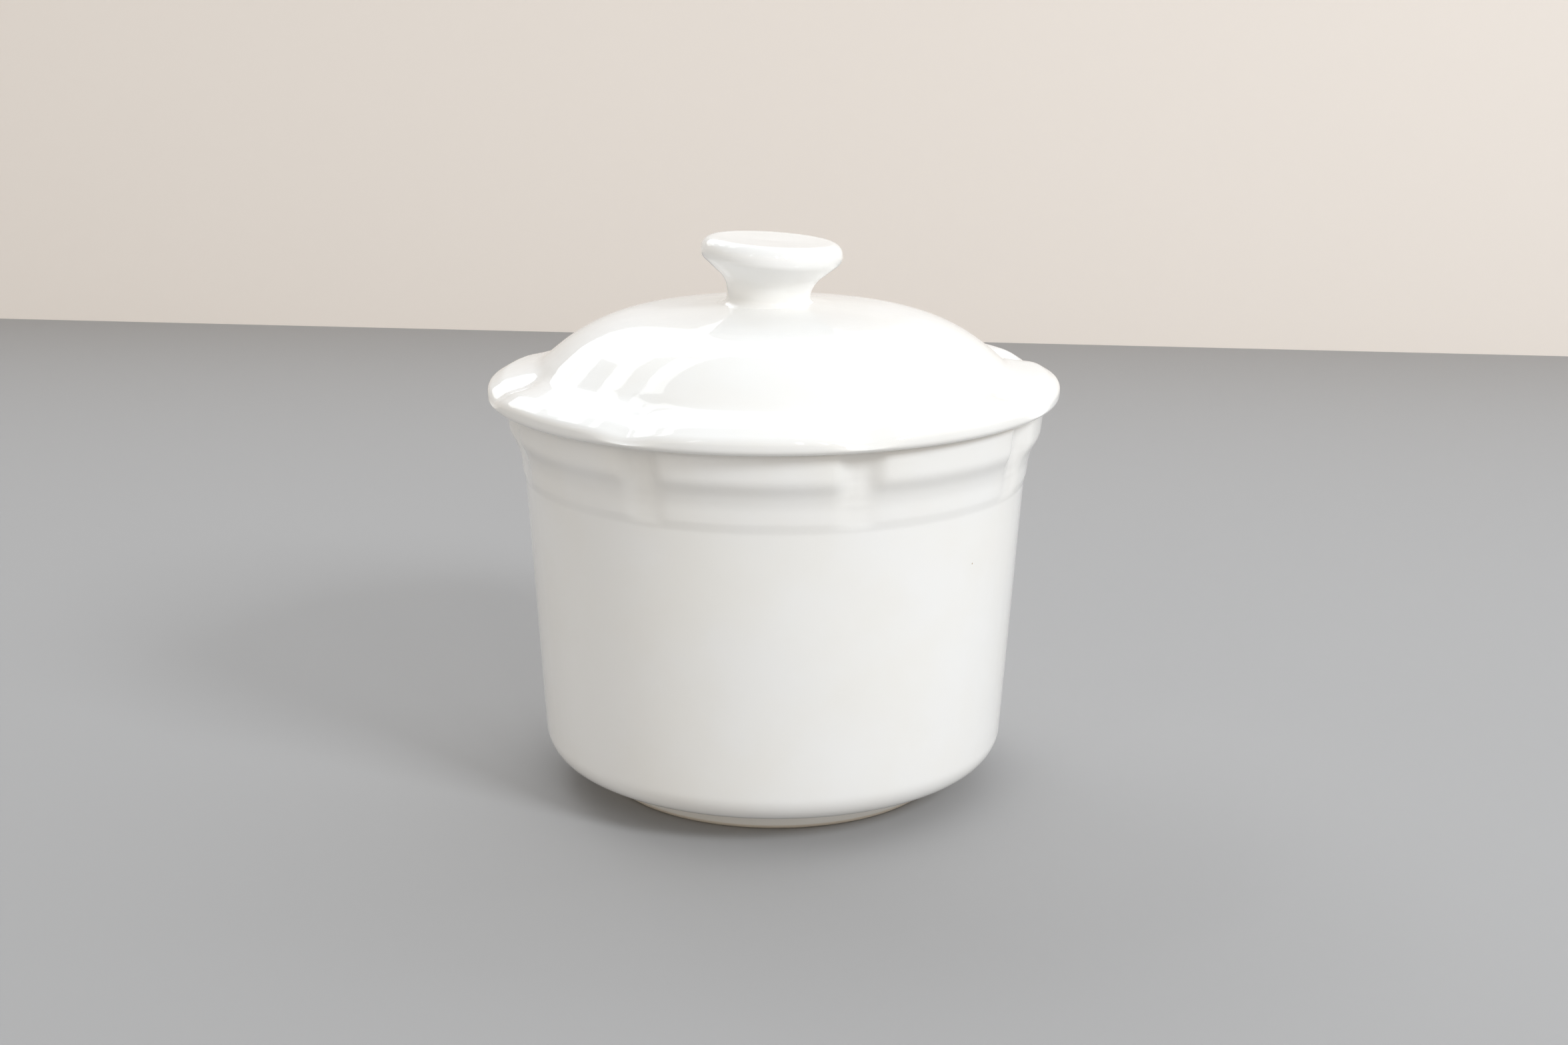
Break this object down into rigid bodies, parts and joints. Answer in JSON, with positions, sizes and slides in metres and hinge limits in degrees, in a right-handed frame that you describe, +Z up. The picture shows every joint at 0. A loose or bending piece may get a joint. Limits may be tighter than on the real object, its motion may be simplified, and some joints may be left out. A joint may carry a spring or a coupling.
{
  "type": "covered ceramic jar",
  "caption": "White glazed ceramic jar with a foot ring, stepped panelled bands under the rim, and a domed petal-brimmed lid with a round knob that lifts off.",
  "frame": {"origin": "centre of the foot ring's resting plane, on the jar's axis", "axes": "+Z up along the jar's axis; the middle of one panel faces -Y and the middle of another faces +X"},
  "size_m": [0.111, 0.111, 0.1082],
  "materials": {
    "jar_glaze": "gloss",
    "lid_glaze": "gloss",
    "knob_glaze": "gloss"
  },
  "bodies": {
    "jar": {"jar": "jar_glaze"},
    "lid": {"lid": "lid_glaze", "knob": "knob_glaze"}
  },
  "joints": [
    {"name": "lid_lift", "type": "slide", "parent": "jar", "child": "lid", "axis": [0, 0, 1], "range_m": [0, 0.04]}
  ]
}
